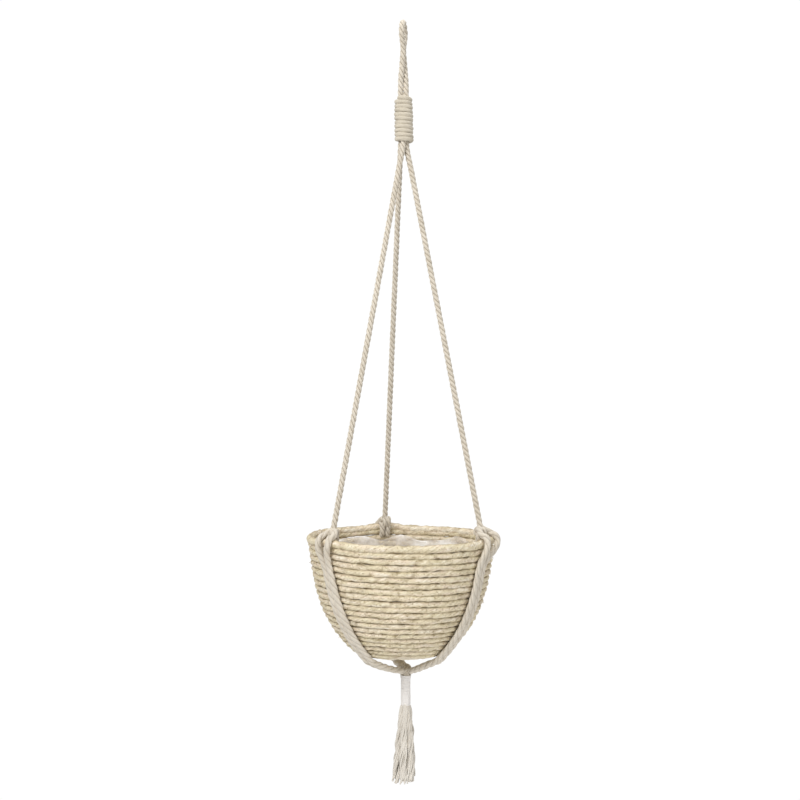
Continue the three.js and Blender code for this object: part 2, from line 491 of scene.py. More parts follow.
def smooth_path(points: Sequence[np.ndarray], step: float) -> np.ndarray:
    """A smooth curve through points, as evenly spaced points.

    Args:
        points: What the curve passes through.
        step: Distance between the points returned.

    Returns:
        An array of points along a centripetal Catmull-Rom curve.
    """
    p = np.array(points, float)
    p = np.vstack([2 * p[0] - p[1], p, 2 * p[-1] - p[-2]])
    knots = np.concatenate([[0], np.cumsum(np.sqrt(np.linalg.norm(np.diff(p, axis=0), axis=1)))])
    out = []
    for i in range(1, len(p) - 2):
        t0, t1, t2, t3 = knots[i - 1:i + 3]
        t = np.linspace(t1, t2, CURVE_SAMPLES, endpoint=False)[:, None]
        a1 = (t1 - t) / (t1 - t0) * p[i - 1] + (t - t0) / (t1 - t0) * p[i]
        a2 = (t2 - t) / (t2 - t1) * p[i] + (t - t1) / (t2 - t1) * p[i + 1]
        a3 = (t3 - t) / (t3 - t2) * p[i + 1] + (t - t2) / (t3 - t2) * p[i + 2]
        b1 = (t2 - t) / (t2 - t0) * a1 + (t - t0) / (t2 - t0) * a2
        b2 = (t3 - t) / (t3 - t1) * a2 + (t - t1) / (t3 - t1) * a3
        out.append((t2 - t) / (t2 - t1) * b1 + (t - t1) / (t2 - t1) * b2)
    dense = np.vstack([*out, p[-2:-1]])
    run = run_lengths(dense)
    s = np.linspace(0, run[-1], max(3, round(run[-1] / step) + 1))
    return np.stack([np.interp(s, run, dense[:, k]) for k in range(3)], axis=1)


def carried_frames(path: np.ndarray) -> tuple[np.ndarray, np.ndarray]:
    """Two directions across a path at each point, carried along it without twist.

    Args:
        path: Points along a curve.

    Returns:
        Unit vectors n and b, with n x b along the path.
    """
    tangents = np.gradient(path, axis=0)
    tangents /= np.linalg.norm(tangents, axis=1)[:, None]
    start = np.array([1.0, 0, 0]) if abs(tangents[0][0]) < 0.9 else np.array([0, 1.0, 0])
    n = start - tangents[0] * (start @ tangents[0])
    normals = []
    for t in tangents:
        n = n - t * (n @ t)
        n = n / np.linalg.norm(n)
        normals.append(n)
    normals = np.array(normals)
    return normals, np.cross(tangents, normals)


def add(name: str, data: bpy.types.ID) -> bpy.types.Object:
    """Puts a mesh, a camera or a light in the scene.

    Args:
        name: The object's name.
        data: What it shows.

    Returns:
        The object, at the origin.
    """
    made = bpy.data.objects.new(name, data)
    bpy.context.scene.collection.objects.link(made)
    return made


def tube_object(name: str, rings: np.ndarray, along: np.ndarray,
                groove: np.ndarray, finish: Finish) -> bpy.types.Object:
    """A closed tube from rings of points.

    Args:
        name: The object's name.
        rings: Points, shaped (rings, points of a ring, 3), anticlockwise about the tube's run.
        along: Length at each ring, for the UV map.
        groove: How much painted shade each point takes, by how deep in a valley it lies, 0 to 1,
            shaped like rings without the 3.
        finish: The surface's finish.

    Returns:
        The object, with UV as length and turn.
    """
    count, sides = rings.shape[:2]
    i, j = np.meshgrid(np.arange(count - 1), np.arange(sides), indexing="ij")
    k = (j + 1) % sides
    quads = np.stack([i * sides + j, i * sides + k, (i + 1) * sides + k, (i + 1) * sides + j], -1)
    faces = quads.reshape(-1, 4).tolist()
    faces.append(list(range(sides))[::-1])
    faces.append([(count - 1) * sides + x for x in range(sides)])
    mesh = bpy.data.meshes.new(name)
    mesh.from_pydata(rings.reshape(-1, 3), [], faces)
    u = np.stack([along[i], along[i], along[i + 1], along[i + 1]], -1)
    v = np.stack([j, j + 1, j + 1, j], -1) / sides
    uv = np.zeros((len(mesh.loops), 2), np.float32)
    uv[:quads.size] = np.stack([u, v], -1).reshape(-1, 2)
    uv[quads.size:quads.size + sides, 0] = along[0]
    uv[quads.size + sides:, 0] = along[-1]
    layer = mesh.uv_layers.new(name="UVMap")
    layer.uv.foreach_set("vector", uv.ravel())
    shade = mesh.attributes.new(GROOVE, "FLOAT", "POINT")
    shade.data.foreach_set("value", groove.ravel().astype(np.float32))
    mesh.polygons.foreach_set("use_smooth", np.ones(len(mesh.polygons), bool))
    mesh.materials.append(finish.material())
    return add(name, mesh)


@dataclass(frozen=True)
class RopeKind:
    """How a rope is laid up, with S lay."""

    radius: float = 3.75 * MM
    strands: int = 3
    pitch: float = 22 * MM
    softness: float = 0.36
    sides: int = 24
    step: float = 1.3 * MM
    wobble: float = 0.035
    wobble_length: float = 9 * MM
    drift: float = 0.25
    drift_length: float = 70 * MM
    full_shade: float = 0.64

    def build(self, name: str, path: np.ndarray, finish: Finish, seed: int = 1,
              press: np.ndarray | None = None) -> bpy.types.Object:
        """Makes a twisted rope along a path.

        Args:
            name: The object's name.
            path: Evenly spaced points of its middle.
            finish: Its finish.
            seed: Picks its small unevenness.
            press: For each point, a direction times the share by which the rope is flattened
                along it; what it loses there it gains across.

        Returns:
            The rope, as a closed mesh.
        """
        n, b = carried_frames(path)
        s = run_lengths(path)
        ends = np.minimum(s, s[-1] - s) / self.radius
        share = np.sqrt(np.clip(1 - (1 - np.clip(ends, 0.02, 1)) ** 2, 0.02, 1))
        j = np.arange(self.sides)
        within = ((j / self.sides * self.strands) % 1.0 - 0.5) * TAU / self.strands
        profile = self.softness + (1 - self.softness) * np.cos(within)
        strand = j * self.strands // self.sides
        uneven = np.stack([smooth_noise(s / self.wobble_length + 50 * k, seed)
                           for k in range(self.strands)])
        radius = self.radius * share[:, None] * profile[None, :]
        radius *= 1 + self.wobble * uneven[strand].T
        pitch_drift = self.drift * smooth_noise(s / self.drift_length, seed + 7)
        turn = -TAU * s / self.pitch + pitch_drift + seed
        angle = j[None, :] / self.sides * TAU + turn[:, None]
        rings = path[:, None, :] + radius[:, :, None] * (
            np.cos(angle)[:, :, None] * n[:, None, :] + np.sin(angle)[:, :, None] * b[:, None, :])
        if press is not None:
            amount = np.linalg.norm(press, axis=1)
            flat = press / np.maximum(amount, 1e-9)[:, None]
            offsets = rings - path[:, None, :]
            depth = (offsets * flat[:, None, :]).sum(2)[:, :, None] * flat[:, None, :]
            rings = rings + amount[:, None, None] * ((offsets - depth) - depth)
        # Painted shade in the valleys between strands, weaker for softer rope.
        valley = 1 - (np.cos(within) - math.cos(math.pi / self.strands)) / (
            1 - math.cos(math.pi / self.strands))
        shade = min(1.0, (1 - self.softness) / self.full_shade)
        groove = np.broadcast_to(shade * valley ** 2.2, radius.shape)
        return tube_object(name, rings, s, groove, finish)


ROPE = RopeKind()
STRAP_ROPE = RopeKind(radius=4.1 * MM, pitch=34 * MM, softness=0.56)
WRAP_CORD = RopeKind(radius=2.95 * MM, pitch=48 * MM, softness=0.82, sides=18, wobble=0.06)
NECK_THREAD = RopeKind(radius=0.78 * MM, pitch=9 * MM, softness=0.96, sides=9, step=1.0 * MM)


def noise_2d(x: np.ndarray, y: np.ndarray, around_count: int, seed: int) -> np.ndarray:
    """Smooth random values over a strip that closes on itself across.

    Args:
        x: Place along the strip; the values change about once per unit.
        y: Place across it, in cells, which wrap after around_count.
        around_count: Cells across.
        seed: Picks the pattern.

    Returns:
        Values from -1 to 1.
    """
    table = np.random.default_rng(seed).uniform(-1, 1, (STRIP_CELLS, around_count))
    cell_x, cell_y = np.floor(x).astype(int), np.floor(y).astype(int)
    tx, ty = x - cell_x, y - cell_y
    tx, ty = tx * tx * (3 - 2 * tx), ty * ty * (3 - 2 * ty)
    a, b = cell_x % STRIP_CELLS, (cell_x + 1) % STRIP_CELLS
    c, d = cell_y % around_count, (cell_y + 1) % around_count
    low = table[a, c] * (1 - tx) + table[b, c] * tx
    high = table[a, d] * (1 - tx) + table[b, d] * tx
    return low * (1 - ty) + high * ty


def settle(piece: bpy.types.Object, replaced: Sequence[str] = (),
           body: str | None = None) -> None:
    """Hides the CAD nodes that a piece stands for, hangs it on the body that carries it, where one
    does, and logs its face count.

    Args:
        piece: The finished piece.
        replaced: CAD nodes that it stands for.
        body: The body that it rides on, or None where it lies between two, which leaves it without
            one.
    """
    if body:
        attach(piece, body)
    if replaced:
        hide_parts(*replaced)
    log.info("%s: %d faces", piece.name, len(piece.data.polygons))


# ---------------------------------------------------------------- geometry trees


class GrowingTree(NodeTree):
    """A geometry tree with named inputs, which grows one mesh on an object."""

    def __init__(self, name: str, sizes: dict[str, int | float]) -> None:
        """Starts a tree.

        Args:
            name: The tree's name, and the name of what it grows.
            sizes: Its inputs' names and values.
        """
        super().__init__(bpy.data.node_groups.new(name, "GeometryNodeTree"))
        self.name = name
        face = self.tree.interface
        face.new_socket("Start", in_out="INPUT", socket_type="NodeSocketGeometry")
        self.values = {}
        for label, value in sizes.items():
            kind = "NodeSocketInt" if isinstance(value, int) else "NodeSocketFloat"
            socket = face.new_socket(label, in_out="INPUT", socket_type=kind)
            self.values[socket.identifier] = value
        face.new_socket("Grown", in_out="OUTPUT", socket_type="NodeSocketGeometry")
        given = self.tree.nodes.new("NodeGroupInput")
        self.start = Field(self, given.outputs["Start"])
        self.size = {label: Field(self, given.outputs[label]) for label in sizes}

    def random(self, low: float, high: float, seed: int, **tag: Field) -> Field:
        """A random number for each element, or for each value of ID where that is given."""
        inputs = {2: low, 3: high, "Seed": seed, **tag}
        return self.node("FunctionNodeRandomValue", {"data_type": "FLOAT"}, inputs, 1)

    def grow(self, geometry: Field, finish: Finish, source: bpy.types.Object) -> bpy.types.Object:
        """Ends the tree and grows its mesh.

        Args:
            geometry: What the tree has made, as a mesh or as instances.
            finish: Its finish.
            source: The object that it grows on, which is left as it was.

        Returns:
            What has grown, as an object of its own.
        """
        real = self.node("GeometryNodeRealizeInstances", None, {0: geometry})
        dressed = self.node("GeometryNodeSetMaterial", None, {
            "Geometry": real, "Material": finish.material()})
        taken = self.tree.nodes.new("NodeGroupOutput")
        self.tree.links.new(dressed.socket, taken.inputs[0])
        modifier = source.modifiers.new(self.name, "NODES")
        modifier.node_group = self.tree
        for identifier, value in self.values.items():
            modifier[identifier] = value
        source.update_tag()
        bpy.context.view_layer.update()
        evaluated = source.evaluated_get(bpy.context.evaluated_depsgraph_get())
        mesh = bpy.data.meshes.new_from_object(evaluated)
        source.modifiers.remove(modifier)
        mesh.name = self.name
        return add(self.name, mesh)


# ---------------------------------------------------------------- hanging loop and its binding


@dataclass
class HangingLoop:
    """The eye that the planter hangs by, twisted into a pair that enters the binding."""

    pair_radius: float = 3.3 * MM
    foot_z: float = -98 * MM
    blend_from: float = -31 * MM
    blend_to: float = -88 * MM

    def side(self) -> list[Point]:
        """One side of the loop.

        Returns:
            Radius in millimetres, azimuth in degrees and height in millimetres, from the top.
        """
        r = self.pair_radius / MM
        return [
            (6.5, 80, 1.6), (11.2, 80, -4), (12.5, 80, -11), (9.5, 82, -19), (5.2, 86, -26),
            (r - 0.2, 88, -31), (r - 0.3, 78, -39), (r - 0.2, 62, -49), (r, 44, -60),
            (r + 0.1, 22, -70), (r + 0.1, 4, -80), (r + 0.1, -4, -89),
            (r + 0.1, -4, self.foot_z / MM)]

    def path(self) -> np.ndarray:
        """The rope's middle.

        Returns:
            Points from one foot over the eye to the other.
        """
        one, other = (
            [around(0, r * MM, azimuth + half_turn, z * MM) for r, azimuth, z in self.side()]
            for half_turn in (0, 180))
        top = np.array([0, 0, ROPE.radius])
        return smooth_path([*one[::-1], top, *other], ROPE.step)

    def build(self) -> None:
        """Makes the loop, whose foot goes into the binding."""
        path = self.path()
        loop = ROPE.build("hanging_loop_rope", path, COTTON, seed=3)
        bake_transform(loop)
        2 * ROPE.radius
        settle(loop, ["hanging_loop"])


@dataclass
class Binding:
    """The whipping that grips the loop's foot and the tops of the three legs."""

    turns: float = 10.6
    top_z: float = -92.4 * MM
    foot_z: float = -147 * MM
    helix_radius: float = 8.9 * MM
    start: float = 200.0
    lean: float = 1.0 * MM
    flare: float = 0.7 * MM
    unevenness: float = 0.4 * MM
    tuck: float = 3.2 * MM
    tuck_turns: float = 0.18
    step: float = 1.1 * MM

    def path(self) -> np.ndarray:
        """The cord's middle.

        Returns:
            Points from top to foot, with both ends tucked in.
        """
        t = np.linspace(0, 1, round(self.turns * 40))
        angle = np.radians(self.start) + TAU * self.turns * t
        drift = self.unevenness * smooth_noise(t * self.turns * 1.7, 21)
        swell = self.unevenness * smooth_noise(t * self.turns * 1.3, 22)
        end = np.clip(np.minimum(t, 1 - t) * self.turns / self.tuck_turns, 0, 1)
        radius = self.helix_radius + swell + self.flare * t ** 2 - self.tuck * (1 - end)
        x = self.lean * t + radius * np.cos(angle)
        z = self.top_z + (self.foot_z - self.top_z) * t + drift
        return smooth_path(np.stack([x, radius * np.sin(angle), z], 1)[::2], self.step)

    def build(self) -> None:
        """Makes the whipping."""
        wrap = WRAP_CORD.build("top_binding_cord", self.path(), CORD, seed=5)
        settle(wrap, ["top_binding"], "binding")


# ---------------------------------------------------------------- basket's shape


@dataclass(frozen=True)
class BasketShape:
    """The basket's outside, as a curve turned about its axis."""

    centre_x: float = -2.5 * MM
    rim_z: float = -646.5 * MM
    height: float = 149.5 * MM
    rim_radius: float = 119.5 * MM
    base_radius: float = 58 * MM
    taper: float = 0.3
    rounding: float = 3.6

    def radius(self, depth: float) -> float:
        """The outside's radius.

        Args:
            depth: How far below the rim's top.

        Returns:
            The radius there.
        """
        t = depth / self.height
        share = self.taper * t + (1 - self.taper) * max(t, 0) ** self.rounding
        return self.rim_radius - (self.rim_radius - self.base_radius) * share

    def slope(self, depth: float) -> float:
        """How fast the radius changes with depth."""
        step = 0.5 * MM
        return (self.radius(depth + step) - self.radius(depth - step)) / (2 * step)

    def point(self, depth: float, inset: float) -> tuple[float, float]:
        """A point near the outside.

        Args:
            depth: How far below the rim's top the outside is read.
            inset: How far in from it the point lies, square to it.

        Returns:
            The point's radius and height.
        """
        slope = self.slope(depth)
        scale = inset / math.hypot(slope, 1)
        return self.radius(depth) - scale, self.rim_z - depth - scale * slope


SHAPE = BasketShape()


# ---------------------------------------------------------------- ropes round the basket


@dataclass(frozen=True)
class Side:
    """Where one leg and its sling rope go, as azimuths in degrees."""

    name: str
    bundle: float
    foot: float
    over: tuple[float, float]
    pair: tuple[float, float]


SIDES = (
    Side("left", 262, 218, (215.5, 224.5), (218.5, 229.5)),
    Side("right", 20, 338.5, (328, 344), (327, 319)),
    Side("back", 141, 102, (98.9, 105.1), (102, 102)),
)


@dataclass
class RopeWork:
    """Three legs, each hitched to a sling rope that runs under the basket and back."""

    bundle_radius: float = 4.4 * MM
    leg_top_z: float = -139 * MM
    leg_straight_z: float = -154 * MM
    leg_foot_radius: float = 105 * MM
    leg_foot_z: float = -631 * MM
    leg_tuck: float = 7 * MM
    blend_from: float = -148 * MM
    blend_to: float = -185 * MM
    stand_off: float = 4.0 * MM
    arch_radius: float = 105.5 * MM
    arch_z: float = -635.5 * MM
    gather_x: float = 3 * MM
    gather_z: float = -815 * MM
    pair_half: float = 3.1 * MM
    strap_half: float = 4.6 * MM
    press: float = 0.28
    press_from: float = 12 * MM
    press_to: float = 158 * MM
    press_ease: float = 20 * MM
    hitch_radius: float = 4.4 * MM
    hitch_turns: float = 2.3
    hitch_width: float = 9 * MM
    hitch_drop: float = -3.6 * MM
    rim_turn_spread: float = 2.0

    def leg_path(self, side: Side) -> np.ndarray:
        """The middle of a leg.

        Args:
            side: The leg's side of the basket.

        Returns:
            Points from inside the binding to inside the hitch.
        """
        start = around(0, self.bundle_radius * 0.9, side.bundle, self.leg_top_z)
        bend = around(0, self.bundle_radius, side.bundle, self.leg_straight_z)
        foot = around(SHAPE.centre_x, self.leg_foot_radius, side.foot, self.leg_foot_z)
        share = (0.06, 0.3, 0.6, 0.9, 1.0 + self.leg_tuck / (bend[2] - foot[2]))
        return smooth_path([start, bend, *(bend + (foot - bend) * t for t in share)], ROPE.step)

    def run(self, side: Side, half: Half) -> list[np.ndarray]:
        """One run of a sling rope.

        Args:
            side: The rope's side of the basket.
            half: Which half of the rope it is.

        Returns:
            Points from the gather, up the basket and over its rim.
        """
        x = SHAPE.centre_x

        def beside(radius: float, middle: float, spread: float = self.strap_half) -> float:
            """The run's azimuth where the pair's middle is at another."""
            return middle + half.sign * math.degrees(math.asin(spread / radius))

        points = []
        for centre, r, rise, spread in (
                (self.gather_x, 8.6, -3.4, self.pair_half),
                (self.gather_x, 13.5, -2.2, self.pair_half), (0, 25, 1.4, self.pair_half),
                (x, 43, 8.2, self.strap_half), (x, 52, 12.1, self.strap_half),
                (x, 60.2, 15.6, self.strap_half)):
            z = self.gather_z + rise * MM
            points.append(around(centre, r * MM, beside(r * MM, side.pair[1], spread), z))
        for depth in (143, 132, 112, 86, 58, 30):
            r, z = SHAPE.point(depth * MM, -self.stand_off)
            share = depth * MM / SHAPE.height
            middle = side.pair[0] + (side.pair[1] - side.pair[0]) * share
            points.append(around(x, r, beside(r, middle), z))
        over = side.over[half.value]
        joining = (beside(SHAPE.rim_radius, side.pair[0]) + 2 * over) / 3
        points.append(around(x, 124 * MM, joining, SHAPE.rim_z - 13 * MM))
        for r, rise in ((124.6, -4), (121.6, 3), (116, 5.2)):
            points.append(around(x, r * MM, over, SHAPE.rim_z + rise * MM))
        inside = (2 * over + side.foot) / 3
        points.append(around(x, 109.5 * MM, inside, SHAPE.rim_z + 9.5 * MM))
        return points

    def sling_path(self, side: Side) -> np.ndarray:
        """A sling rope's middle: up one run, through the arch and down the other."""
        arch = around(SHAPE.centre_x, self.arch_radius, side.foot, self.arch_z)
        return smooth_path([*self.run(side, Half.FIRST), arch, *self.run(side, Half.SECOND)[::-1]],
                           ROPE.step)

    def pressed(self, path: np.ndarray) -> np.ndarray:
        """How the basket's side flattens a sling rope.

        Args:
            path: The rope's middle.

        Returns:
            Outward vectors, as the press of RopeKind.build takes them.
        """
        outward = path - np.array([SHAPE.centre_x, 0, 0])
        height = SHAPE.rim_z - outward[:, 2]
        slope = np.array([SHAPE.slope(min(max(d, 0), SHAPE.height)) for d in height])
        flat = np.linalg.norm(outward[:, :2], axis=1)
        direction = np.column_stack([outward[:, :2] / flat[:, None], slope])
        direction /= np.linalg.norm(direction, axis=1)[:, None]
        ease = np.clip((height - self.press_from) / self.press_ease, 0, 1) * np.clip(
            (self.press_to - height) / self.press_ease, 0, 1)
        return direction * (self.press * ease)[:, None]

    def rim_turn_path(self, side: Side, half: Half) -> np.ndarray:
        """One of the two turns that hold the arch to the rim, seen inside the mouth.

        Args:
            side: The hitch's side of the basket.
            half: The half of the sling rope beside which it lies.

        Returns:
            Points down the inside of the rim.
        """
        azimuth = side.foot + half.sign * self.rim_turn_spread
        return smooth_path([
            around(SHAPE.centre_x, r * MM, azimuth + half.sign * lean, SHAPE.rim_z + rise * MM)
            for r, lean, rise in (
                (110, 0.6, 8.0), (106.4, 0.3, 6.0), (104.3, 0.1, 0.5), (104.6, 0.0, -5.5),
                (107.2, 0.0, -10.0), (112, 0.0, -12.0))], ROPE.step)

    def hitch_path(self, side: Side) -> np.ndarray:
        """The leg's end, wound round the arch.

        Args:
            side: The leg's side of the basket.

        Returns:
            Points from one end of the hitch to the other.
        """
        t = np.linspace(0, 1, 40)
        turn = np.radians(60) + TAU * self.hitch_turns * t
        z = self.arch_z + self.hitch_drop
        centre = around(SHAPE.centre_x, self.arch_radius, side.foot, z)
        out = around(0, 1, side.foot, 0)
        tangent = around(0, 1, side.foot + 90, 0)
        up = np.array([0, 0, 1])
        radius = self.hitch_radius * (1 - 0.25 * np.clip(t * 6 - 5, 0, 1))
        spread = (t - 0.5) * self.hitch_width
        return smooth_path(
            centre + radius[:, None] * (np.cos(turn)[:, None] * out + np.sin(turn)[:, None] * up)
            + spread[:, None] * tangent, ROPE.step)

    def build(self) -> None:
        """Makes the legs, hitches and slings."""
        for seed, side in enumerate(SIDES):
            path = self.leg_path(side)
            leg = ROPE.build(f"leg_{side.name}", path, COTTON, seed=31 + seed)
            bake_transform(leg)
            2 * ROPE.radius
            settle(leg, [f"leg_rope_{side.name}"])
            path = self.sling_path(side)
            sling = STRAP_ROPE.build(f"sling_{side.name}", path, COTTON, seed=41 + seed,
                                     press=self.pressed(path))
            settle(sling, [f"sling_rope_{side.name}"], "planter")
            2 * STRAP_ROPE.radius
            hitch = ROPE.build(f"hitch_{side.name}", self.hitch_path(side), COTTON,
                               seed=51 + seed)
            settle(hitch, body="planter")
            for half in Half:
                turn = ROPE.build(f"rim_turn_{side.name}_{half.name.lower()}",
                                  self.rim_turn_path(side, half), COTTON,
                                  seed=61 + 2 * seed + half.value)
                settle(turn, body="planter")


# ---------------------------------------------------------------- basket


@dataclass
class RowPath:
    """Where a row of straw runs, as arrays along it."""

    length: np.ndarray
    radius: np.ndarray
    height: np.ndarray
    azimuth: np.ndarray
    outward: np.ndarray
    down: np.ndarray


@dataclass
class Basket:
    """A basket of straw coil: a thick rim row, then one spiral down the wall and the floor."""

    rim_row: float = 4.95 * MM
    rim_half_height: float = 4.9 * MM
    rim_lap: float = 0.9985
    first_row: float = 13.1 * MM
    pitch: float = 7.6 * MM
    row: float = 3.9 * MM
    half_height: float = 0.51
    step: float = 2.0 * MM
    rim_step: float = 1.6 * MM
    sides: int = 12
    husks_round: int = 6
    start: float = 221.0
    second_row_turns: tuple[float, float] = (-0.98, 1.0)
    overlap: float = 0.004
    wave: float = 0.45 * MM
    wave_length: float = 26 * MM
    pull: float = 3.4 * MM
    pull_width: float = 11.0
    pull_depth: float = 22 * MM
    sag: float = 0.8 * MM
    tip: float = 1.7 * MM
    left_tip: float = 0.8 * MM
    tip_depth: float = 110 * MM
    ends_per_area: float = 4200.0
    end_length: float = 6.0 * MM
    end_radius: float = 0.38 * MM

    def profile(self) -> np.ndarray:
        """The line that the spiral's rows follow.

        Returns:
            Rows of arc length, radius and height, down the wall's middle and in along the floor.
        """
        depths = np.linspace(0, SHAPE.height - self.row, 400)
        wall = [SHAPE.point(d, self.row) for d in depths]
        corner_r, corner_z = SHAPE.base_radius - 0.6 * self.row, SHAPE.rim_z - SHAPE.height
        floor = [(r, corner_z + self.row) for r in np.linspace(corner_r, 0.5 * MM, 120)]
        points = np.array([*wall, *floor])
        keep = np.concatenate([[True], np.linalg.norm(np.diff(points, axis=0), axis=1) > 1e-5])
        points = points[keep]
        return np.column_stack([run_lengths(points), points])

    def coil(self, name: str, turns: tuple[float, float], seed: int) -> bpy.types.Object:
        """A length of the spiral.

        Args:
            name: The piece's name.
            turns: Where it starts and stops, in turns from the spiral's start.
            seed: Picks its husks.

        Returns:
            The piece.
        """
        profile = self.profile()

        def across(place: np.ndarray) -> np.ndarray:
            """Radius and height at lengths down the profile."""
            return np.stack([np.interp(place, profile[:, 0], profile[:, k]) for k in (1, 2)], 1)

        dense = np.linspace(*turns, round((turns[1] - turns[0]) * 720) + 2)
        r = across(self.first_row + self.pitch * dense)[:, 0]
        run = np.concatenate([[0], np.cumsum(np.diff(dense) * TAU * (r[1:] + r[:-1]) / 2)])
        even = np.linspace(0, run[-1], round(run[-1] / self.step))
        turn = np.interp(even, run, dense)
        s = even + seed
        wave = self.wave * smooth_noise(s / self.wave_length, seed)
        p = self.first_row + self.pitch * turn + wave
        reach = 2.5 * MM
        down = across(p + reach) - across(p - reach)
        down /= np.hypot(down[:, 0], down[:, 1])[:, None]
        outward = np.stack([-down[:, 1], down[:, 0]], 1)
        azimuth = np.radians(self.start) + TAU * turn
        r, z = across(p).T
        path = RowPath(s, r, z + self.lift(azimuth, p), azimuth, outward, down)
        return self.husked(name, path, (self.row, self.pitch * self.half_height), seed)

    def husked(self, name: str, path: RowPath, half: tuple[float, float], seed: int,
               gap_shade: float = 1.0) -> bpy.types.Object:
        """A row of twisted husks.

        Args:
            name: The piece's name.
            path: Where it runs.
            half: Half the row's thickness and half its height.
            seed: Picks its husks.
            gap_shade: How strongly painted shade darkens its gaps and dents.

        Returns:
            The piece.
        """
        s = path.length
        angle = np.arange(self.sides) / self.sides * TAU
        cells = self.husks_round
        run, turn = np.broadcast_arrays(s[:, None], (angle / TAU * cells)[None, :])
        strips = noise_2d(run / (6.5 * MM), turn + run / (9 * MM), cells, seed + 3)
        pits = noise_2d(run / (3.9 * MM), turn * 2, cells * 2, seed + 4)
        swell = smooth_noise(s / (14 * MM), seed + 5)
        scale = 1 + 0.15 * strips + 0.085 * pits + 0.05 * swell[:, None]
        ends = np.clip(np.minimum(s - s[0], s[-1] - s) / (2.5 * MM), 0.35, 1)
        scale = scale * ends[:, None]
        square = 0.86 + 0.14 * np.abs(np.cos(2 * angle))
        thick = half[0] * np.cos(angle) * square
        high = half[1] * np.sin(angle)
        r, z = (
            middle[:, None] + scale * (
                thick[None, :] * path.outward[:, k:k + 1] + high[None, :] * path.down[:, k:k + 1])
            for k, middle in enumerate((path.radius, path.height)))
        rings = np.stack([SHAPE.centre_x + r * np.cos(path.azimuth)[:, None],
                          r * np.sin(path.azimuth)[:, None], z], axis=2)
        # Painted shade: the tops and bottoms of the row, where it meets its neighbours, and the
        # dents in its husks.
        side_gap = np.abs(np.sin(angle))[None, :] ** 7
        dent = np.clip(-strips - 0.2, 0, 1) * 0.6 + np.clip(-pits - 0.3, 0, 1) * 0.8
        groove = np.clip(side_gap * 0.95 + dent, 0, 1) * gap_shade
        return tube_object(name, rings, s, groove, STRAW)

    def lift(self, azimuth: np.ndarray, depth: np.ndarray) -> np.ndarray:
        """How much the pull of the ropes raises the rows, and how much the mouth tips.

        Args:
            azimuth: Azimuths in radians.
            depth: Lengths down the wall.

        Returns:
            Rises in metres.
        """
        degrees = np.degrees(azimuth)
        pulled = sum(np.exp(-((((degrees - side.foot) + 180) % 360 - 180) / self.pull_width) ** 2)
                     for side in SIDES)
        tip = self.tip * np.sin(azimuth) + self.left_tip * (1 - np.cos(azimuth))
        pull = (self.pull * pulled - self.sag) * np.exp(-depth / self.pull_depth)
        return tip * np.clip(1 - depth / self.tip_depth, 0, 1) + pull

    def rim(self) -> bpy.types.Object:
        """The thick row round the mouth.

        Returns:
            The piece.
        """
        length = TAU * (SHAPE.rim_radius - self.rim_row)
        s = np.linspace(0, length, round(length / self.rim_step))
        azimuth = np.radians(self.start + 1.0) + s / length * TAU * self.rim_lap
        depth = self.rim_row * 0.98 + 0.5 * MM * smooth_noise(s / (60 * MM), 91)
        r = np.full_like(s, SHAPE.rim_radius - self.rim_row + 0.4 * MM)
        ones, zeros = np.ones_like(s), np.zeros_like(s)
        z = SHAPE.rim_z - depth + self.lift(azimuth, zeros)
        path = RowPath(s, r, z, azimuth, np.stack([ones, zeros], 1), np.stack([zeros, -ones], 1))
        return self.husked("basket_rim_row", path, (self.rim_row, self.rim_half_height), 92, 0.8)

    def straw_ends(self, coil: bpy.types.Object, name: str, seed: int) -> bpy.types.Object:
        """Short loose ends of straw that lie on a piece of coil.

        Args:
            coil: The piece of coil.
            name: The new piece's name.
            seed: Picks their places.

        Returns:
            The ends, as one mesh.
        """
        tree = GrowingTree(name, {
            "Ends per area": self.ends_per_area, "End length": self.end_length,
            "End radius": self.end_radius})
        points = tree.node("GeometryNodeDistributePointsOnFaces", None, {
            "Mesh": tree.start, "Density": tree.size["Ends per area"], "Seed": seed})
        normal = Field(tree, points.socket.node.outputs["Normal"])
        end = tree.node("GeometryNodeMeshCone", None, {
            "Vertices": 5, "Radius Top": 0.2 * MM, "Radius Bottom": tree.size["End radius"],
            "Depth": tree.size["End length"]})
        smooth = tree.node("GeometryNodeSetShadeSmooth", None, {0: end})
        shake = tree.node("FunctionNodeRandomValue", {"data_type": "FLOAT_VECTOR"}, {
            "Min": (-0.28, -0.28, -0.4), "Max": (0.28, 0.28, 0.4), "Seed": seed + 1})
        along = tree.node("ShaderNodeVectorMath", {"operation": "CROSS_PRODUCT"}, {
            0: normal, 1: (0.0, 0.0, 1.0)})
        lean = tree.node("ShaderNodeVectorMath", {"operation": "ADD"}, {0: along, 1: shake})
        turned = tree.node("FunctionNodeAlignRotationToVector", {"axis": "Z"}, {"Vector": lean})
        placed = tree.node("GeometryNodeInstanceOnPoints", None, {
            "Points": points, "Instance": smooth, "Rotation": turned,
            "Scale": tree.random(0.45, 1.3, seed + 2)})
        return tree.grow(placed, STRAW, coil)

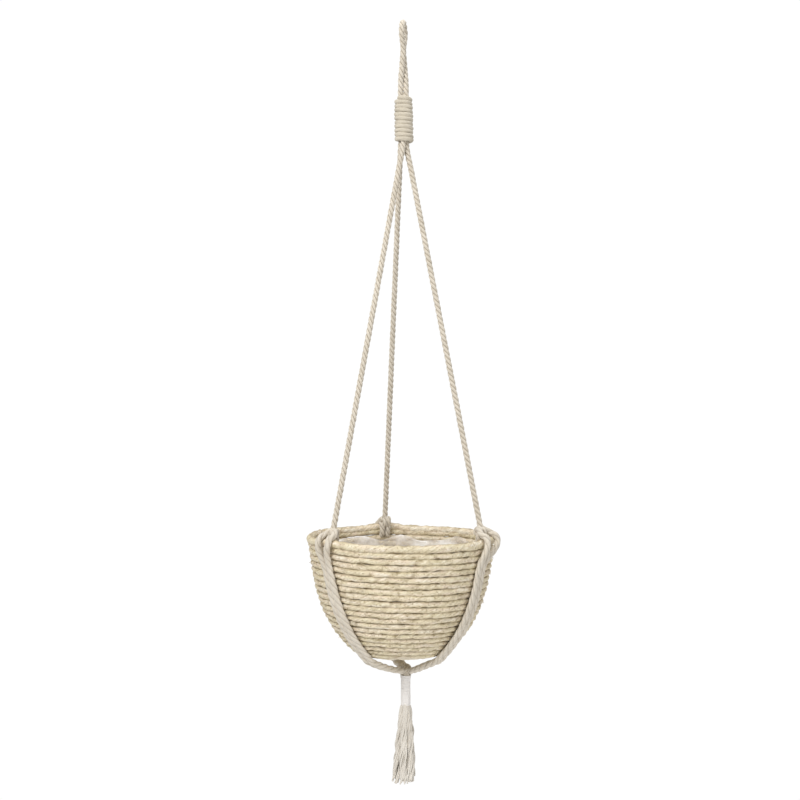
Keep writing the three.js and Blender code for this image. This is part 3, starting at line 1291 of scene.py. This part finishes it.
    def build(self) -> None:
        """Makes the rim, the wall, the floor and their loose ends."""
        profile = self.profile()
        middle = (profile[-1, 0] - self.first_row) / self.pitch
        corner = np.interp(-(SHAPE.rim_z - SHAPE.height + self.row) - 0.4 * MM,
                           -profile[:, 2], profile[:, 0])
        floor_turn = (corner - self.first_row) / self.pitch
        wall_turn = self.second_row_turns[1]
        settle(self.rim(), ["basket_rim"], "planter")
        upper = self.coil("basket_second_row", self.second_row_turns, 102)
        settle(upper, body="planter")
        wall = self.coil("basket_wall_rows", (wall_turn - self.overlap, floor_turn), 103)
        ends = self.straw_ends(wall, "basket_straw_ends", 11)
        settle(wall, ["basket_wall"], "planter")
        settle(ends, body="planter")
        floor = self.coil("basket_floor_spiral", (floor_turn - self.overlap, middle - 0.2), 104)
        settle(floor, ["basket_base"], "planter")


@dataclass
class Liner:
    """A crumpled film that keeps water in, laid against the wall and the floor."""

    inset: float = 10.4 * MM
    edge_depth: float = 16 * MM
    edge_rise: float = 4.5 * MM
    edge_rows: int = 7
    floor_gap: float = 9.3 * MM
    corner: float = 3 * MM
    crumple: float = 1.1 * MM
    columns: int = 260
    rows: int = 74
    wall_rows: int = 52
    lanes: int = 48
    flat: float = 0.36
    area: float = 0.1018
    thickness: float = 0.25 * MM

    def ring(self, i: int) -> np.ndarray:
        """One ring of the film's points.

        Args:
            i: Which ring, counted from the edge down the wall and in along the floor.

        Returns:
            The ring's points.
        """
        azimuth = np.arange(self.columns) / self.columns * TAU
        lane = azimuth / TAU * self.lanes
        rough, fine, fold = (
            noise_2d(np.full(self.columns, i / length), lane * finer, self.lanes * finer, seed)
            for length, finer, seed in ((3.1, 1, 71), (1.5, 2, 72), (9.0, 1, 74)))
        fold = np.abs(fold)
        bottom = SHAPE.height - self.floor_gap
        foot = bottom - self.corner
        if i < self.wall_rows:
            share = i / (self.wall_rows - 1)
            depth = self.edge_depth + (foot - self.edge_depth) * share
            r, z = SHAPE.point(depth, self.inset)
            curl = noise_2d(np.zeros(self.columns), lane / 2, self.lanes // 2, 73) + 0.2
            radius = r - self.crumple * (1.0 + 0.75 * rough + 0.45 * fine + 0.9 * fold)
            height = z + np.clip(1 - i / self.edge_rows, 0, 1) * self.edge_rise * curl
        else:
            share = (i - self.wall_rows + 1) / (self.rows - self.wall_rows)
            radius = SHAPE.point(foot, self.inset)[0] * (1 - share) * 0.985 + 0.4 * MM
            height = SHAPE.rim_z - bottom + self.crumple * (
                0.5 * rough + 0.5 * fine + 0.6 * fold)
        return np.stack([SHAPE.centre_x + radius * np.cos(azimuth),
                         radius * np.sin(azimuth), height], 1)

    def build(self) -> None:
        """Makes the film."""
        bottom = SHAPE.height - self.floor_gap
        middle = np.array([[SHAPE.centre_x, 0, SHAPE.rim_z - bottom + self.crumple * 0.4]])
        points = np.vstack([*(self.ring(i) for i in range(self.rows)), middle])
        n = self.columns
        faces = [
            ((i + 1) * n + j, (i + 1) * n + (j + 1) % n, i * n + (j + 1) % n, i * n + j)
            for i in range(self.rows - 1) for j in range(n)]
        last = (self.rows - 1) * n
        faces += [(len(points) - 1, last + (j + 1) % n, last + j) for j in range(n)]
        mesh = bpy.data.meshes.new("film_liner_sheet")
        mesh.from_pydata(points, [], faces)
        mesh.polygons.foreach_set("use_smooth", np.ones(len(mesh.polygons), bool))
        mesh.materials.append(FILM.material())
        film = add("film_liner_sheet", mesh)
        film.modifiers.new("Thickness", "SOLIDIFY").thickness = self.thickness
        settle(film, ["film_liner"], "planter")


# ---------------------------------------------------------------- gather, neck and tassel


@dataclass
class Gather:
    """The ropes' meeting under the basket and the whipped neck below it."""

    x: float = 3 * MM
    z: float = -815.4 * MM
    knot_radius: float = 3.3 * MM
    core_radius: float = 5.2 * MM
    core_top_z: float = -814 * MM
    core_foot_z: float = -868 * MM
    wrap_top_z: float = -824.2 * MM
    wrap_foot_z: float = -862.6 * MM
    wrap_pitch: float = 1.42 * MM
    hinge_from: float = -816.5 * MM
    hinge_to: float = -829 * MM
    collar: float = 0.9 * MM

    def knot(self) -> None:
        """Makes the short turn of rope where the slings meet."""
        t = np.linspace(0, 1, 30)
        turn = np.radians(250) - TAU * 1.35 * t
        radius = self.knot_radius * (0.9 + 0.2 * np.sin(np.pi * t))
        knot = ROPE.build("gather_knot_rope", smooth_path(np.stack([
            self.x + radius * np.cos(turn), radius * np.sin(turn),
            self.z + (3.2 - 6.4 * t) * MM], 1), ROPE.step), COTTON, seed=61)
        settle(knot, ["gather_knot"], "planter")

    def core(self) -> None:
        """Makes the bundle of rope ends that the whipping holds."""
        top = np.array([self.x, 0, self.core_top_z])
        foot = np.array([self.x, 0, self.core_foot_z])
        bundle = RopeKind(radius=self.core_radius, pitch=60 * MM, softness=0.72, sides=30)
        core = bundle.build("neck_core", smooth_path(
            [top, (2 * top + foot) / 3, (top + 2 * foot) / 3, foot], ROPE.step), COTTON, seed=62)
        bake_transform(core)
        settle(core)

    def whipping(self) -> None:
        """Makes the thread round the neck, with a collar at its top."""
        turns = (self.wrap_top_z - self.wrap_foot_z) / self.wrap_pitch
        t = np.linspace(0, 1, round(turns * 30))
        angle = TAU * turns * t
        radius = self.core_radius + 0.25 * MM + 0.18 * MM * smooth_noise(t * 12, 63)
        radius = radius + self.collar * np.exp(-(t / 0.09) ** 2)
        z = self.wrap_top_z + (self.wrap_foot_z - self.wrap_top_z) * t
        z = z + 0.2 * MM * smooth_noise(t * 90, 64)
        path = np.stack([self.x + radius * np.cos(angle), radius * np.sin(angle), z], 1)
        wrap = NECK_THREAD.build("neck_whipping", smooth_path(path[::2], NECK_THREAD.step),
                                 THREAD, seed=65)
        settle(wrap, ["neck_binding"], "neck")

    def build(self) -> None:
        """Makes the knot, the core and the whipping."""
        self.knot()
        self.core()
        self.whipping()


@dataclass
class Tassel:
    """The unlaid ends of the sling ropes: six loose twists of yarn."""

    x: float = 3 * MM
    top_z: float = -861 * MM
    foot_z: float = -957.5 * MM
    lobes: int = 6
    yarns: int = 120
    yarn_radius: float = 1.12 * MM
    ring: tuple[float, float] = (2.2 * MM, 9.6 * MM)
    lobe: tuple[float, float] = (1.9 * MM, 4.6 * MM)
    first_lobe: float = 0.35
    twist: float = -4.4
    wave: float = 0.9 * MM
    stray_lobe: float = 3.0
    stray: float = 2.8 * MM
    short_lobe: float = 2.0
    shortening: float = 11 * MM
    longest: float = 3 * MM
    uneven: float = 10 * MM
    lean: float = 1.8 * MM
    blend_from: float = -862 * MM
    blend_to: float = -875 * MM
    seed: int = 5

    def lines(self, tree: GrowingTree) -> Field:
        """One straight line of points for each yarn, with its number.

        Args:
            tree: The tassel's tree.

        Returns:
            The lines, as real curves.
        """
        points = tree.node("GeometryNodePoints", None, {"Count": tree.size["Yarns"]})
        index = tree.node("GeometryNodeInputIndex")
        tagged = tree.node("GeometryNodeStoreNamedAttribute", {"data_type": "FLOAT"}, {
            "Geometry": points, "Name": "yarn", "Value": index})
        line = tree.node("GeometryNodeCurvePrimitiveLine", None, {
            "Start": (0.0, 0.0, 0.0), "End": (0.0, 0.0, -1.0)})
        fine = tree.node("GeometryNodeResampleCurve", None, {"Curve": line, "Count": 26})
        copies = tree.node("GeometryNodeInstanceOnPoints", None, {
            "Points": tagged, "Instance": fine})
        return tree.node("GeometryNodeRealizeInstances", None, {0: copies})

    def yarn_tubes(self, tree: GrowingTree) -> Field:
        """The yarns, each wound loosely into its lobe.

        Args:
            tree: The tassel's tree.

        Returns:
            A tube for each yarn.
        """
        size = tree.size
        yarn = tree.node("GeometryNodeInputNamedAttribute", {"data_type": "FLOAT"}, {
            "Name": "yarn"})
        t = tree.node("GeometryNodeSplineParameter")
        lobe_index = (yarn + 0.5).apply("FLOORED_MODULO", float(self.lobes)).apply("FLOOR")
        within = ((yarn + 0.5) * (1 / self.lobes)).apply("FLOOR")
        shake = tree.random(0.0, 1.0, self.seed, ID=yarn)
        spread = t.power(0.55)
        strays = lobe_index.apply("COMPARE", self.stray_lobe, 0.5)
        shorter = lobe_index.apply("COMPARE", self.short_lobe, 0.5)
        ring = size["Ring at top"] + (size["Ring at foot"] - size["Ring at top"]) * spread
        ring = ring + strays * t.power(4.0) * self.stray
        lobe = size["Lobe at top"] + (size["Lobe at foot"] - size["Lobe at top"]) * spread
        lobe_angle = lobe_index * (TAU / self.lobes) + self.first_lobe
        in_lobe = size["Yarns"] * (1 / self.lobes)
        out = ((within + 0.5).apply("DIVIDE", in_lobe)).apply("SQRT")
        yarn_angle = within * GOLDEN_ANGLE + t * size["Twist"] + lobe_index * 1.3
        wave = (t * (shake * 8.0 + 15.0) + yarn * 1.7).apply("SINE")
        far = lobe * out + wave * self.wave
        across, back = (
            ring * lobe_angle.apply(operation) + far * yarn_angle.apply(operation)
            for operation in ("COSINE", "SINE"))
        drop = t * (size["Foot height"] - size["Top height"] + shake * self.uneven
                    + shorter * self.shortening - self.longest)
        place = tree.node("ShaderNodeCombineXYZ", None, {
            0: across + size["Middle"] - t * self.lean, 1: back, 2: size["Top height"] + drop})
        moved = tree.node("GeometryNodeSetPosition", None, {
            "Geometry": self.lines(tree), "Position": place})
        # The groove attribute here is a random darker tone for some yarns, not shade.
        marked = tree.node("GeometryNodeStoreNamedAttribute", {
            "data_type": "FLOAT", "domain": "POINT"}, {
            "Geometry": moved, "Name": GROOVE, "Value": shake.power(2.0) * 0.45})
        section = tree.node("GeometryNodeCurvePrimitiveCircle", None, {
            "Resolution": 6, "Radius": 1.0})
        tube = tree.node("GeometryNodeCurveToMesh", None, {
            "Curve": marked, "Profile Curve": section, "Fill Caps": True,
            "Scale": size["Yarn radius"] * (1.12 - t * 0.22 + wave * 0.07)})
        return tree.node("GeometryNodeSetShadeSmooth", None, {0: tube})

    def build(self) -> None:
        """Makes the yarns as one mesh."""
        tree = GrowingTree("tassel_yarn", {
            "Yarns": self.yarns, "Yarn radius": self.yarn_radius, "Top height": self.top_z,
            "Foot height": self.foot_z, "Ring at top": self.ring[0],
            "Ring at foot": self.ring[1], "Lobe at top": self.lobe[0],
            "Lobe at foot": self.lobe[1], "Twist": self.twist, "Middle": self.x})
        start = add("tassel_start", bpy.data.meshes.new("tassel_start"))
        tassel = tree.grow(self.yarn_tubes(tree), YARN, start)
        bpy.data.objects.remove(start)
        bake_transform(tassel)
        settle(tassel, [f"tassel_tail_{k}" for k in range(1, self.lobes + 1)])


# ---------------------------------------------------------------- studio


@dataclass(frozen=True)
class SoftLight:
    """A soft square light that points at the planter's middle."""

    name: str
    place: Point
    size: float
    power: float
    aim: Point = (0.0, 0.0, -0.5)

    def build(self) -> None:
        """Adds the light."""
        light = bpy.data.lights.new(self.name, "AREA")
        light.size = self.size
        light.energy = self.power
        made = add(self.name, light)
        made.location = self.place
        away = Vector(self.aim) - Vector(self.place)
        made.rotation_euler = away.to_track_quat("-Z", "Y").to_euler()


@dataclass
class Studio:
    """Camera, floor and soft light."""

    camera_at: Point = (-0.0042, -1.75, -0.4756)
    lens: float = 62.0
    floor_z: float = -1.25
    floor_radius: float = 0.85
    floor_corners: int = 96
    ambient: float = 0.56
    backdrop: float = 1.02
    lights: tuple[SoftLight, ...] = (
        SoftLight("key", (-0.9, -1.6, 0.6), 1.0, 30.0),
        SoftLight("fill", (1.5, -1.5, -0.8), 1.6, 9.0),
        SoftLight("top", (0.2, 0.2, 1.4), 1.2, 16.0))

    def camera(self) -> None:
        """Adds the camera, level and square to the planter's front."""
        camera = bpy.data.cameras.new("camera")
        camera.lens = self.lens
        camera.sensor_width = 36.0
        made = add("camera", camera)
        made.location = self.camera_at
        made.rotation_euler = (math.radians(90), 0, 0)
        bpy.context.scene.camera = made

    def floor(self) -> None:
        """Adds a round floor below the tassel."""
        mesh = bpy.data.meshes.new("floor")
        azimuths = np.linspace(0, 360, self.floor_corners, endpoint=False)
        ring = [around(0, self.floor_radius, azimuth, self.floor_z) for azimuth in azimuths]
        mesh.from_pydata(ring, [], [list(range(self.floor_corners))])
        mesh.materials.append(FLOOR.material())
        add("floor", mesh)

    def world(self) -> None:
        """Adds even light, with a brighter white behind the planter."""
        world = bpy.data.worlds.new("studio")
        world.use_nodes = True
        tree = NodeTree(world.node_tree)
        surroundings, backdrop = (
            tree.node("ShaderNodeBackground", None, {"Color": WHITE, "Strength": strength})
            for strength in (self.ambient, self.backdrop))
        seen = tree.node("ShaderNodeLightPath", output="Is Camera Ray")
        both = tree.node("ShaderNodeMixShader", None, {0: seen, 1: surroundings, 2: backdrop})
        world.node_tree.links.new(
            both.socket, world.node_tree.nodes["World Output"].inputs["Surface"])
        bpy.context.scene.world = world

    def build(self) -> None:
        """Makes the studio."""
        self.camera()
        self.floor()
        for light in self.lights:
            light.build()
        self.world()
        bpy.context.scene.view_settings.view_transform = "Standard"


def main() -> None:
    """Builds the planter's looks round its frame."""
    logging.basicConfig(level=logging.INFO, format="%(name)s %(message)s")
    Studio().build()
    HangingLoop().build()
    RopeWork().build()
    Binding().build()
    Basket().build()
    Liner().build()
    Gather().build()
    Tassel().build()


if __name__ == "__main__":
    main()
